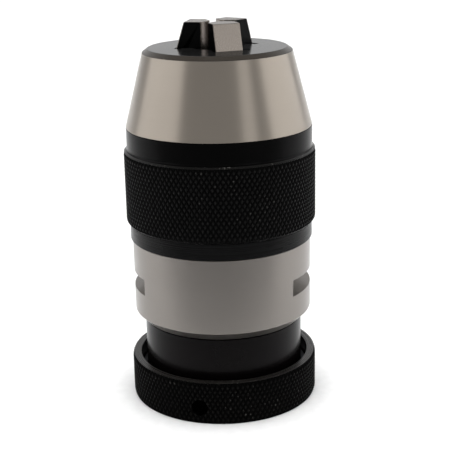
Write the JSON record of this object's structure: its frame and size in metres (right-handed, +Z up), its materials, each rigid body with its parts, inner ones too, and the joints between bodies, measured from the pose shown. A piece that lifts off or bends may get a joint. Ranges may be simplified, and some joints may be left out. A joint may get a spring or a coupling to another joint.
{
  "type": "drill chuck",
  "caption": "Keyless three-jaw drill chuck: turning the knurled sleeve feeds a screw that slides the jaws along inclined slots; taper socket and captive knurled collar at the rear.",
  "frame": {"origin": "middle of the rear face, where the chuck stands on a bench or meets the machine spindle", "axes": "+Z up the chuck's axis towards the jaws; the first jaw is 18 degrees round from -Y towards +X"},
  "size_m": [0.051, 0.051, 0.102],
  "materials": {
    "bright_steel": "fine ground, satin",
    "black_steel": "black oxide, satin",
    "jaw_steel": "ground",
    "hard_steel": "hardened and ground",
    "spring_steel": "blued",
    "brass": "turned"
  },
  "bodies": {
    "body": {"chuck_body": "bright_steel", "rear_sleeve": "black_steel", "collar_stop_ring": "spring_steel", "thrust_collar": "hard_steel", "thrust_collar_pin": "hard_steel", "upper_race": "hard_steel"},
    "sleeve": {"knurled_sleeve": "black_steel", "jaw_guide": "bright_steel", "sleeve_ring_nut": "black_steel", "lower_race": "hard_steel"},
    "bearing_cage": {"ball_cage": "brass", "bearing_ball_01": "hard_steel", "bearing_ball_02": "hard_steel", "bearing_ball_03": "hard_steel", "bearing_ball_04": "hard_steel", "bearing_ball_05": "hard_steel", "bearing_ball_06": "hard_steel", "bearing_ball_07": "hard_steel", "bearing_ball_08": "hard_steel", "bearing_ball_09": "hard_steel", "bearing_ball_10": "hard_steel", "bearing_ball_11": "hard_steel", "bearing_ball_12": "hard_steel", "bearing_ball_13": "hard_steel", "bearing_ball_14": "hard_steel", "bearing_ball_15": "hard_steel", "bearing_ball_16": "hard_steel"},
    "spindle": {"drive_spindle": "hard_steel"},
    "first_jaw": {"jaw_1": "jaw_steel"},
    "second_jaw": {"jaw_2": "jaw_steel"},
    "third_jaw": {"jaw_3": "jaw_steel"},
    "slip_ring": {"collar_slip_ring": "spring_steel"},
    "collar": {"locking_collar": "black_steel"}
  },
  "joints": [
    {"name": "sleeve_turn", "type": "hinge", "parent": "body", "child": "sleeve", "pos_m": [0, 0, 0.06], "axis": [0, 0, 1], "range_deg": [-648, 2088]},
    {"name": "cage_turn", "type": "hinge", "parent": "body", "child": "bearing_cage", "pos_m": [0, 0, 0.0493], "axis": [0, 0, 1], "range_deg": [-325, 1045]},
    {"name": "spindle_feed", "type": "slide", "parent": "sleeve", "child": "spindle", "axis": [0, 0, 1], "range_m": [-0.01451, 0.00451]},
    {"name": "jaw_1_slide", "type": "slide", "parent": "sleeve", "child": "first_jaw", "axis": [-0.0929, 0.286, 0.9537], "range_m": [-0.01521, 0.00473]},
    {"name": "jaw_2_slide", "type": "slide", "parent": "sleeve", "child": "second_jaw", "axis": [-0.2012, -0.2235, 0.9537], "range_m": [-0.01521, 0.00473]},
    {"name": "jaw_3_slide", "type": "slide", "parent": "sleeve", "child": "third_jaw", "axis": [0.2941, -0.0625, 0.9537], "range_m": [-0.01521, 0.00473]},
    {"name": "collar_slide", "type": "slide", "parent": "body", "child": "slip_ring", "axis": [0, 0, 1], "range_m": [-0.003, 0]},
    {"name": "collar_turn", "type": "hinge", "parent": "slip_ring", "child": "collar", "pos_m": [0, 0, 0.0056], "axis": [0, 0, 1], "continuous": true}
  ],
  "couplings": [
    {"joint": "cage_turn", "follows": "sleeve_turn", "ratio": 0.5},
    {"joint": "spindle_feed", "follows": "sleeve_turn", "m_per_rad": -0.00039789},
    {"joint": "jaw_1_slide", "follows": "sleeve_turn", "m_per_rad": -0.0004172},
    {"joint": "jaw_2_slide", "follows": "sleeve_turn", "m_per_rad": -0.0004172},
    {"joint": "jaw_3_slide", "follows": "sleeve_turn", "m_per_rad": -0.0004172}
  ]
}
